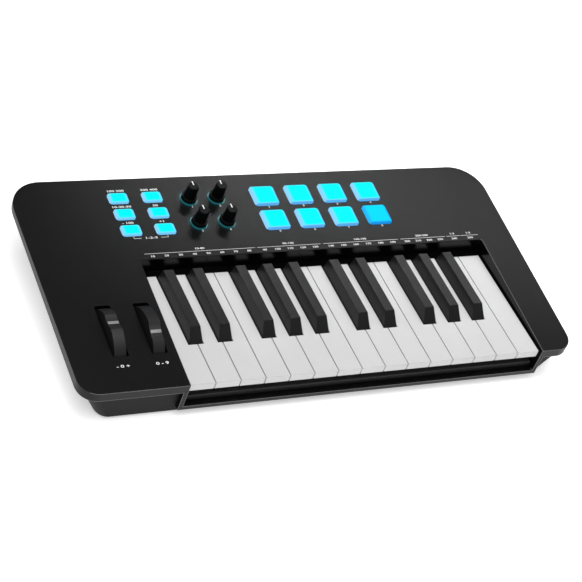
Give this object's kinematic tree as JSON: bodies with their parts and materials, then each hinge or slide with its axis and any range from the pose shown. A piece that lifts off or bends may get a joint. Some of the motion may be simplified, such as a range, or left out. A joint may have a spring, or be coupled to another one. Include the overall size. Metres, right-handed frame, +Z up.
{
  "type": "midi keyboard",
  "caption": "Slim desktop controller keyboard with sprung piano keys in a sloping plastic case, two thumb wheels, knobs, lit pads and lit buttons.",
  "frame": {"origin": "middle of the footprint, on the surface that the feet stand on", "axes": "+X towards the treble end, +Y towards the back, +Z up"},
  "size_m": [0.487, 0.2304, 0.0723],
  "materials": {
    "case_black": "fine satin texture",
    "white_key": "smooth semi-gloss",
    "black_key": "fine texture",
    "knob_black": "satin",
    "wheel_rubber": "finely ribbed",
    "pad_lit": "translucent silicone, lit from below",
    "button_lit": "translucent silicone, lit from below",
    "light_ring": "clear, dimly lit",
    "inner_plastic": "moulded",
    "steel": "plated",
    "felt": "felt",
    "board": "solder mask",
    "inner_rubber": "moulded",
    "socket": "moulded",
    "foot_rubber": "moulded",
    "white_ink": "printed marks",
    "white_inlay": "moulded-in lines"
  },
  "bodies": {
    "case": {"top_case": "case_black", "bottom_case": "case_black", "keybed_chassis": "inner_plastic", "key_pivot_rod": "steel", "key_springs": "steel", "key_felts": "felt", "contact_board": "board", "contact_rubber": "inner_rubber", "control_board": "board", "knob_light_rings": "light_ring", "knob_pots": "inner_plastic", "wheel_bracket": "inner_plastic", "rear_sockets": "socket", "feet": "foot_rubber", "case_screws": "steel"},
    "pitch_wheel": {"pitch_wheel": "wheel_rubber"},
    "mod_wheel": {"mod_wheel": "wheel_rubber"},
    "knob_1": {"knob_1": "knob_black"},
    "knob_2": {"knob_2": "knob_black"},
    "knob_3": {"knob_3": "knob_black"},
    "knob_4": {"knob_4": "knob_black"},
    "pad_1": {"pad_1": "pad_lit"},
    "pad_2": {"pad_2": "pad_lit"},
    "pad_3": {"pad_3": "pad_lit"},
    "pad_4": {"pad_4": "pad_lit"},
    "pad_5": {"pad_5": "pad_lit"},
    "pad_6": {"pad_6": "pad_lit"},
    "pad_7": {"pad_7": "pad_lit"},
    "pad_8": {"pad_8": "pad_lit"},
    "button_1": {"button_1": "button_lit"},
    "button_2": {"button_2": "button_lit"},
    "button_3": {"button_3": "button_lit"},
    "button_4": {"button_4": "button_lit"},
    "button_5": {"button_5": "button_lit"},
    "button_6": {"button_6": "button_lit"},
    "white_key_01": {"white_key_01": "white_key"},
    "white_key_02": {"white_key_02": "white_key"},
    "white_key_03": {"white_key_03": "white_key"},
    "white_key_04": {"white_key_04": "white_key"},
    "white_key_05": {"white_key_05": "white_key"},
    "white_key_06": {"white_key_06": "white_key"},
    "white_key_07": {"white_key_07": "white_key"},
    "white_key_08": {"white_key_08": "white_key"},
    "white_key_09": {"white_key_09": "white_key"},
    "white_key_10": {"white_key_10": "white_key"},
    "white_key_11": {"white_key_11": "white_key"},
    "white_key_12": {"white_key_12": "white_key"},
    "white_key_13": {"white_key_13": "white_key"},
    "white_key_14": {"white_key_14": "white_key"},
    "white_key_15": {"white_key_15": "white_key"},
    "black_key_01": {"black_key_01": "black_key"},
    "black_key_02": {"black_key_02": "black_key"},
    "black_key_03": {"black_key_03": "black_key"},
    "black_key_04": {"black_key_04": "black_key"},
    "black_key_05": {"black_key_05": "black_key"},
    "black_key_06": {"black_key_06": "black_key"},
    "black_key_07": {"black_key_07": "black_key"},
    "black_key_08": {"black_key_08": "black_key"},
    "black_key_09": {"black_key_09": "black_key"},
    "black_key_10": {"black_key_10": "black_key"}
  },
  "joints": [
    {"name": "pitch_wheel_turn", "type": "hinge", "parent": "case", "child": "pitch_wheel", "pos_m": [-0.1981, -0.0512, 0.021], "axis": [-1, 0, 0], "range_deg": [-22, 22], "stiffness_Nm_per_rad": 0.08},
    {"name": "mod_wheel_turn", "type": "hinge", "parent": "case", "child": "mod_wheel", "pos_m": [-0.16325, -0.0512, 0.021], "axis": [-1, 0, 0], "range_deg": [0, 44]},
    {"name": "knob_1_turn", "type": "hinge", "parent": "case", "child": "knob_1", "pos_m": [-0.0776, 0.0881, 0.05456], "axis": [0, -0.0826, 0.9966], "range_deg": [-140, 140]},
    {"name": "knob_2_turn", "type": "hinge", "parent": "case", "child": "knob_2", "pos_m": [-0.0499, 0.0881, 0.05456], "axis": [0, -0.0826, 0.9966], "range_deg": [-140, 140]},
    {"name": "knob_3_turn", "type": "hinge", "parent": "case", "child": "knob_3", "pos_m": [-0.0776, 0.0595, 0.05219], "axis": [0, -0.0826, 0.9966], "range_deg": [-140, 140]},
    {"name": "knob_4_turn", "type": "hinge", "parent": "case", "child": "knob_4", "pos_m": [-0.0499, 0.0595, 0.05219], "axis": [0, -0.0826, 0.9966], "range_deg": [-140, 140]},
    {"name": "pad_1_press", "type": "slide", "parent": "case", "child": "pad_1", "axis": [0, 0.0826, -0.9966], "range_m": [0, 0.001], "stiffness_N_per_m": 2000, "springref_m": -0.0005},
    {"name": "pad_2_press", "type": "slide", "parent": "case", "child": "pad_2", "axis": [0, 0.0826, -0.9966], "range_m": [0, 0.001], "stiffness_N_per_m": 2000, "springref_m": -0.0005},
    {"name": "pad_3_press", "type": "slide", "parent": "case", "child": "pad_3", "axis": [0, 0.0826, -0.9966], "range_m": [0, 0.001], "stiffness_N_per_m": 2000, "springref_m": -0.0005},
    {"name": "pad_4_press", "type": "slide", "parent": "case", "child": "pad_4", "axis": [0, 0.0826, -0.9966], "range_m": [0, 0.001], "stiffness_N_per_m": 2000, "springref_m": -0.0005},
    {"name": "pad_5_press", "type": "slide", "parent": "case", "child": "pad_5", "axis": [0, 0.0826, -0.9966], "range_m": [0, 0.001], "stiffness_N_per_m": 2000, "springref_m": -0.0005},
    {"name": "pad_6_press", "type": "slide", "parent": "case", "child": "pad_6", "axis": [0, 0.0826, -0.9966], "range_m": [0, 0.001], "stiffness_N_per_m": 2000, "springref_m": -0.0005},
    {"name": "pad_7_press", "type": "slide", "parent": "case", "child": "pad_7", "axis": [0, 0.0826, -0.9966], "range_m": [0, 0.001], "stiffness_N_per_m": 2000, "springref_m": -0.0005},
    {"name": "pad_8_press", "type": "slide", "parent": "case", "child": "pad_8", "axis": [0, 0.0826, -0.9966], "range_m": [0, 0.001], "stiffness_N_per_m": 2000, "springref_m": -0.0005},
    {"name": "button_1_press", "type": "slide", "parent": "case", "child": "button_1", "axis": [0, 0.0826, -0.9966], "range_m": [0, 0.0008], "stiffness_N_per_m": 1500, "springref_m": -0.0004},
    {"name": "button_2_press", "type": "slide", "parent": "case", "child": "button_2", "axis": [0, 0.0826, -0.9966], "range_m": [0, 0.0008], "stiffness_N_per_m": 1500, "springref_m": -0.0004},
    {"name": "button_3_press", "type": "slide", "parent": "case", "child": "button_3", "axis": [0, 0.0826, -0.9966], "range_m": [0, 0.0008], "stiffness_N_per_m": 1500, "springref_m": -0.0004},
    {"name": "button_4_press", "type": "slide", "parent": "case", "child": "button_4", "axis": [0, 0.0826, -0.9966], "range_m": [0, 0.0008], "stiffness_N_per_m": 1500, "springref_m": -0.0004},
    {"name": "button_5_press", "type": "slide", "parent": "case", "child": "button_5", "axis": [0, 0.0826, -0.9966], "range_m": [0, 0.0008], "stiffness_N_per_m": 1500, "springref_m": -0.0004},
    {"name": "button_6_press", "type": "slide", "parent": "case", "child": "button_6", "axis": [0, 0.0826, -0.9966], "range_m": [0, 0.0008], "stiffness_N_per_m": 1500, "springref_m": -0.0004},
    {"name": "white_key_01_press", "type": "hinge", "parent": "case", "child": "white_key_01", "pos_m": [-0.1388, 0.0338, 0.0265], "axis": [1, 0, 0], "range_deg": [0, 4], "stiffness_Nm_per_rad": 0.25, "springref_deg": -14.32},
    {"name": "white_key_02_press", "type": "hinge", "parent": "case", "child": "white_key_02", "pos_m": [-0.1104, 0.0338, 0.0265], "axis": [1, 0, 0], "range_deg": [0, 4], "stiffness_Nm_per_rad": 0.25, "springref_deg": -14.32},
    {"name": "white_key_03_press", "type": "hinge", "parent": "case", "child": "white_key_03", "pos_m": [-0.08275, 0.0338, 0.0265], "axis": [1, 0, 0], "range_deg": [0, 4], "stiffness_Nm_per_rad": 0.25, "springref_deg": -14.32},
    {"name": "white_key_04_press", "type": "hinge", "parent": "case", "child": "white_key_04", "pos_m": [-0.06865, 0.0338, 0.0265], "axis": [1, 0, 0], "range_deg": [0, 4], "stiffness_Nm_per_rad": 0.25, "springref_deg": -14.32},
    {"name": "white_key_05_press", "type": "hinge", "parent": "case", "child": "white_key_05", "pos_m": [-0.0412, 0.0338, 0.0265], "axis": [1, 0, 0], "range_deg": [0, 4], "stiffness_Nm_per_rad": 0.25, "springref_deg": -14.32},
    {"name": "white_key_06_press", "type": "hinge", "parent": "case", "child": "white_key_06", "pos_m": [-0.0148, 0.0338, 0.0265], "axis": [1, 0, 0], "range_deg": [0, 4], "stiffness_Nm_per_rad": 0.25, "springref_deg": -14.32},
    {"name": "white_key_07_press", "type": "hinge", "parent": "case", "child": "white_key_07", "pos_m": [0.01165, 0.0338, 0.0265], "axis": [1, 0, 0], "range_deg": [0, 4], "stiffness_Nm_per_rad": 0.25, "springref_deg": -14.32},
    {"name": "white_key_08_press", "type": "hinge", "parent": "case", "child": "white_key_08", "pos_m": [0.0257, 0.0338, 0.0265], "axis": [1, 0, 0], "range_deg": [0, 4], "stiffness_Nm_per_rad": 0.25, "springref_deg": -14.32},
    {"name": "white_key_09_press", "type": "hinge", "parent": "case", "child": "white_key_09", "pos_m": [0.0541, 0.0338, 0.0265], "axis": [1, 0, 0], "range_deg": [0, 4], "stiffness_Nm_per_rad": 0.25, "springref_deg": -14.32},
    {"name": "white_key_10_press", "type": "hinge", "parent": "case", "child": "white_key_10", "pos_m": [0.08175, 0.0338, 0.0265], "axis": [1, 0, 0], "range_deg": [0, 4], "stiffness_Nm_per_rad": 0.25, "springref_deg": -14.32},
    {"name": "white_key_11_press", "type": "hinge", "parent": "case", "child": "white_key_11", "pos_m": [0.09585, 0.0338, 0.0265], "axis": [1, 0, 0], "range_deg": [0, 4], "stiffness_Nm_per_rad": 0.25, "springref_deg": -14.32},
    {"name": "white_key_12_press", "type": "hinge", "parent": "case", "child": "white_key_12", "pos_m": [0.1233, 0.0338, 0.0265], "axis": [1, 0, 0], "range_deg": [0, 4], "stiffness_Nm_per_rad": 0.25, "springref_deg": -14.32},
    {"name": "white_key_13_press", "type": "hinge", "parent": "case", "child": "white_key_13", "pos_m": [0.1497, 0.0338, 0.0265], "axis": [1, 0, 0], "range_deg": [0, 4], "stiffness_Nm_per_rad": 0.25, "springref_deg": -14.32},
    {"name": "white_key_14_press", "type": "hinge", "parent": "case", "child": "white_key_14", "pos_m": [0.17615, 0.0338, 0.0265], "axis": [1, 0, 0], "range_deg": [0, 4], "stiffness_Nm_per_rad": 0.25, "springref_deg": -14.32},
    {"name": "white_key_15_press", "type": "hinge", "parent": "case", "child": "white_key_15", "pos_m": [0.19435, 0.0338, 0.0265], "axis": [1, 0, 0], "range_deg": [0, 4], "stiffness_Nm_per_rad": 0.25, "springref_deg": -14.32},
    {"name": "black_key_01_press", "type": "hinge", "parent": "case", "child": "black_key_01", "pos_m": [-0.1243, 0.0338, 0.0265], "axis": [1, 0, 0], "range_deg": [0, 4], "stiffness_Nm_per_rad": 0.25, "springref_deg": -14.32},
    {"name": "black_key_02_press", "type": "hinge", "parent": "case", "child": "black_key_02", "pos_m": [-0.0965, 0.0338, 0.0265], "axis": [1, 0, 0], "range_deg": [0, 4], "stiffness_Nm_per_rad": 0.25, "springref_deg": -14.32},
    {"name": "black_key_03_press", "type": "hinge", "parent": "case", "child": "black_key_03", "pos_m": [-0.0545, 0.0338, 0.0265], "axis": [1, 0, 0], "range_deg": [0, 4], "stiffness_Nm_per_rad": 0.25, "springref_deg": -14.32},
    {"name": "black_key_04_press", "type": "hinge", "parent": "case", "child": "black_key_04", "pos_m": [-0.0279, 0.0338, 0.0265], "axis": [1, 0, 0], "range_deg": [0, 4], "stiffness_Nm_per_rad": 0.25, "springref_deg": -14.32},
    {"name": "black_key_05_press", "type": "hinge", "parent": "case", "child": "black_key_05", "pos_m": [-0.0017, 0.0338, 0.0265], "axis": [1, 0, 0], "range_deg": [0, 4], "stiffness_Nm_per_rad": 0.25, "springref_deg": -14.32},
    {"name": "black_key_06_press", "type": "hinge", "parent": "case", "child": "black_key_06", "pos_m": [0.0402, 0.0338, 0.0265], "axis": [1, 0, 0], "range_deg": [0, 4], "stiffness_Nm_per_rad": 0.25, "springref_deg": -14.32},
    {"name": "black_key_07_press", "type": "hinge", "parent": "case", "child": "black_key_07", "pos_m": [0.068, 0.0338, 0.0265], "axis": [1, 0, 0], "range_deg": [0, 4], "stiffness_Nm_per_rad": 0.25, "springref_deg": -14.32},
    {"name": "black_key_08_press", "type": "hinge", "parent": "case", "child": "black_key_08", "pos_m": [0.11, 0.0338, 0.0265], "axis": [1, 0, 0], "range_deg": [0, 4], "stiffness_Nm_per_rad": 0.25, "springref_deg": -14.32},
    {"name": "black_key_09_press", "type": "hinge", "parent": "case", "child": "black_key_09", "pos_m": [0.1366, 0.0338, 0.0265], "axis": [1, 0, 0], "range_deg": [0, 4], "stiffness_Nm_per_rad": 0.25, "springref_deg": -14.32},
    {"name": "black_key_10_press", "type": "hinge", "parent": "case", "child": "black_key_10", "pos_m": [0.1628, 0.0338, 0.0265], "axis": [1, 0, 0], "range_deg": [0, 4], "stiffness_Nm_per_rad": 0.25, "springref_deg": -14.32}
  ]
}
